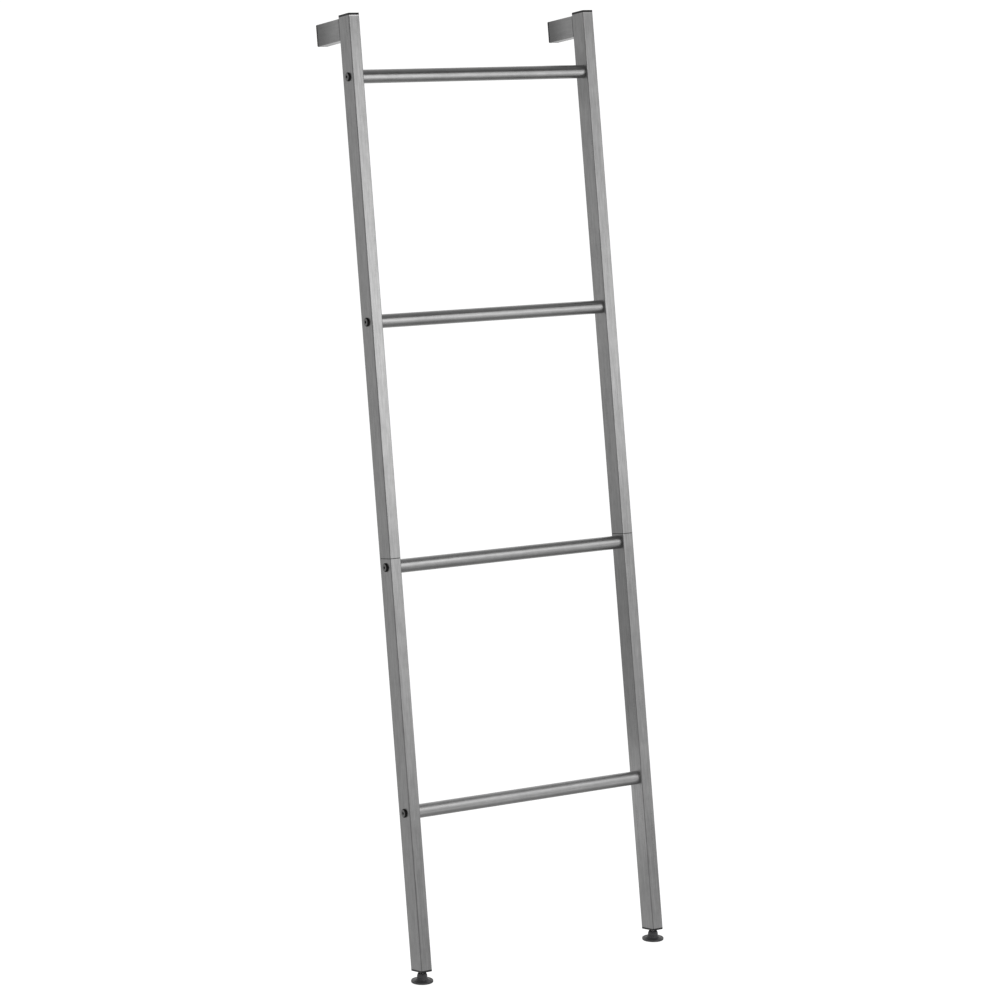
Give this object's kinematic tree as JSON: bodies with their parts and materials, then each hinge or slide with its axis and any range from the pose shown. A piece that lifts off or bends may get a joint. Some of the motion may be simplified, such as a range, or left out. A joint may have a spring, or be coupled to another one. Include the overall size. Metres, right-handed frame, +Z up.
{
  "type": "leaning towel ladder",
  "caption": "Leaning towel ladder: two bolted rectangular-tube rails with round rungs, arms with bumpers that rest on the wall, and screw-in swivel levelling feet.",
  "frame": {"origin": "on the floor, midway between the centres of the two feet", "axes": "+X to the right seen from the front, +Y back towards the wall, +Z up; the ladder stands as in use, its rails leaning back 8.7 degrees towards +Y"},
  "size_m": [0.428, 0.3106, 1.3797],
  "materials": {
    "rail_paint": "satin graphite-grey metallic powder coat on steel tube, slightly drawn grain along the tube",
    "rung_paint": "satin graphite-grey metallic coat, a little glossier than the rails",
    "zinc_steel": "bright zinc-plated steel",
    "stem_steel": "zinc-plated screw thread",
    "black_bolt": "black oxide steel",
    "black_plastic": "black moulded plastic, fine matt grain",
    "natural_nylon": "natural nylon",
    "foot_plastic": "charcoal moulded plastic",
    "sole_rubber": "dark non-slip rubber"
  },
  "bodies": {
    "ladder": {"rail_upper_left": "rail_paint", "rail_upper_right": "rail_paint", "rail_lower_left": "rail_paint", "rail_lower_right": "rail_paint", "splice_left": "zinc_steel", "splice_right": "zinc_steel", "wall_arm_left": "rail_paint", "wall_arm_right": "rail_paint", "arm_weld_left": "rail_paint", "arm_weld_right": "rail_paint", "rail_cap_left": "black_plastic", "rail_cap_right": "black_plastic", "arm_cap_left": "black_plastic", "arm_cap_right": "black_plastic", "rung_1": "rung_paint", "rung_2": "rung_paint", "rung_3": "rung_paint", "rung_4": "rung_paint", "rung_1_inserts": "zinc_steel", "rung_2_inserts": "zinc_steel", "rung_3_inserts": "zinc_steel", "rung_4_inserts": "zinc_steel", "rung_1_bolts": "black_bolt", "rung_2_bolts": "black_bolt", "rung_3_bolts": "black_bolt", "rung_4_bolts": "black_bolt", "bottom_plug_left": "black_plastic", "bottom_plug_right": "black_plastic", "plug_insert_left": "zinc_steel", "plug_insert_right": "zinc_steel"},
    "foot_carrier_left": {"ball_seat_left": "natural_nylon"},
    "foot_screw_left": {"foot_stem_left": "stem_steel"},
    "foot_pad_left": {"foot_base_left": "foot_plastic", "foot_sole_left": "sole_rubber"},
    "foot_carrier_right": {"ball_seat_right": "natural_nylon"},
    "foot_screw_right": {"foot_stem_right": "stem_steel"},
    "foot_pad_right": {"foot_base_right": "foot_plastic", "foot_sole_right": "sole_rubber"}
  },
  "joints": [
    {"name": "foot_height_left", "type": "slide", "parent": "ladder", "child": "foot_carrier_left", "axis": [0, -0.1513, -0.9885], "range_m": [-0.001, 0.01]},
    {"name": "foot_screw_turn_left", "type": "hinge", "parent": "foot_carrier_left", "child": "foot_screw_left", "pos_m": [-0.198, 0, 0.0062], "axis": [0, -0.1513, -0.9885], "range_deg": [-295, 2890]},
    {"name": "foot_tilt_left", "type": "hinge", "parent": "foot_carrier_left", "child": "foot_pad_left", "pos_m": [-0.198, 0, 0.0062], "axis": [1, 0, 0], "range_deg": [-23, 6]},
    {"name": "foot_height_right", "type": "slide", "parent": "ladder", "child": "foot_carrier_right", "axis": [0, -0.1513, -0.9885], "range_m": [-0.001, 0.01]},
    {"name": "foot_screw_turn_right", "type": "hinge", "parent": "foot_carrier_right", "child": "foot_screw_right", "pos_m": [0.198, 0, 0.0062], "axis": [0, -0.1513, -0.9885], "range_deg": [-295, 2890]},
    {"name": "foot_tilt_right", "type": "hinge", "parent": "foot_carrier_right", "child": "foot_pad_right", "pos_m": [0.198, 0, 0.0062], "axis": [1, 0, 0], "range_deg": [-23, 6]}
  ],
  "couplings": [
    {"joint": "foot_screw_turn_left", "follows": "foot_height_left", "rad_per_m": 5026.5},
    {"joint": "foot_screw_turn_right", "follows": "foot_height_right", "rad_per_m": 5026.5}
  ]
}
